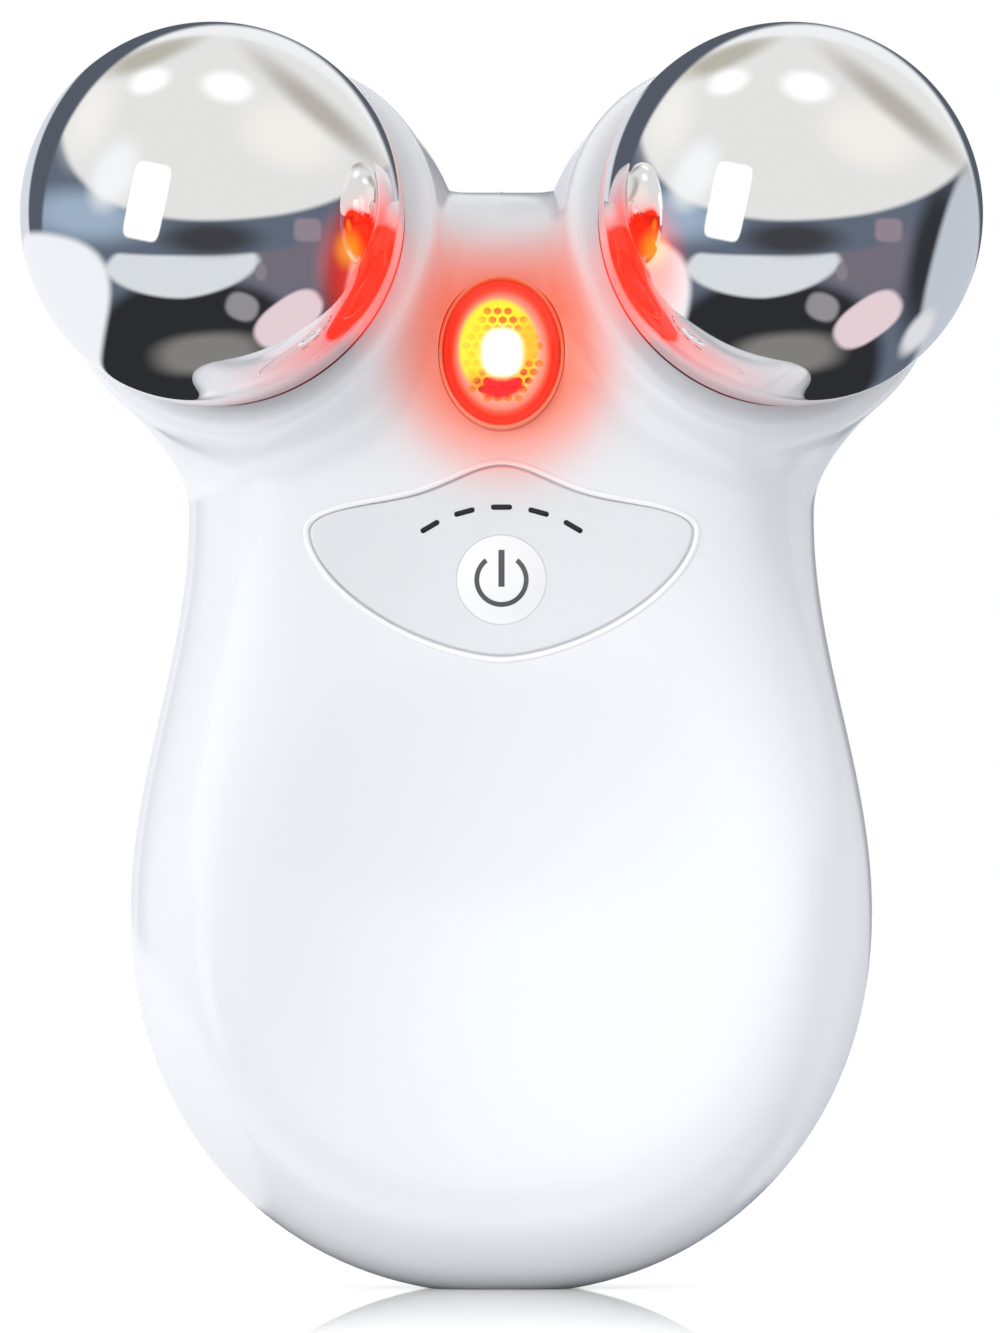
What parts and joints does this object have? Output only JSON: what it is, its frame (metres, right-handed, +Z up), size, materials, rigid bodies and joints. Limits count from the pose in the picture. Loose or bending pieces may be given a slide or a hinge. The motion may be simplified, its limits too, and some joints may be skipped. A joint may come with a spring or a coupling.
{
  "type": "facial toning device",
  "caption": "Handheld facial toner: white pear-shaped grip with two chrome ball electrodes in cups, a red light between them and a power button on a wing-shaped panel.",
  "frame": {"origin": "middle of the small flat foot at the lower end of the grip, on the surface that it stands on", "axes": "+Z up the grip towards the ball electrodes, +X to the right of someone facing the button panel, -Y out of the front face with the button"},
  "size_m": [0.0756, 0.0443, 0.0997],
  "materials": {
    "housing": "gloss white ABS",
    "chrome_plate": "bright chrome plating on ABS",
    "brass": "bare",
    "gasket": "matt",
    "steel": "plain",
    "black_wire": "matt insulation",
    "red_wire": "matt insulation",
    "bezel": "gloss, pale salmon",
    "red_lens": "clear red, lit",
    "honeycomb": "gloss",
    "board": "solder mask",
    "emitter": "gloss",
    "panel": "satin gloss light grey",
    "tape": "matt",
    "dark_window": "smoked",
    "clear_guide": "clear",
    "button": "gloss white",
    "black_plastic": "matt",
    "stem": "matt",
    "battery_foil": "foil pouch"
  },
  "bodies": {
    "housing": {"front_shell": "housing", "back_shell": "housing", "sphere_left": "chrome_plate", "sphere_right": "chrome_plate", "insert_left": "brass", "insert_right": "brass", "gasket_left": "gasket", "gasket_right": "gasket", "contact_screw_left": "steel", "contact_screw_right": "steel", "terminal_left": "brass", "terminal_right": "brass", "electrode_lead_left": "black_wire", "electrode_lead_right": "red_wire", "light_bezel": "bezel", "light_lens": "red_lens", "light_honeycomb": "honeycomb", "light_board": "board", "light_emitter": "emitter", "light_leads": "red_wire", "panel_inlay": "panel", "panel_tape": "tape", "level_windows": "dark_window", "light_guide": "clear_guide", "level_lamps": "emitter", "button_switch": "black_plastic", "main_board": "board", "board_screws": "steel", "control_chip": "black_plastic", "boost_coil": "black_plastic", "battery": "battery_foil", "battery_pad": "gasket", "battery_leads": "red_wire", "charge_board": "board", "charge_leads": "red_wire", "usb_socket": "steel", "usb_tongue": "black_plastic"},
    "button": {"power_button": "button"},
    "stem": {"switch_stem": "stem"}
  },
  "joints": [
    {"name": "power_button_press", "type": "slide", "parent": "housing", "child": "button", "axis": [0, 1, 0], "range_m": [0, 0.0003], "stiffness_N_per_m": 4000},
    {"name": "switch_stem_press", "type": "slide", "parent": "housing", "child": "stem", "axis": [0, 1, 0], "range_m": [0, 0.0003]}
  ],
  "couplings": [
    {"joint": "switch_stem_press", "follows": "power_button_press", "ratio": 1}
  ]
}
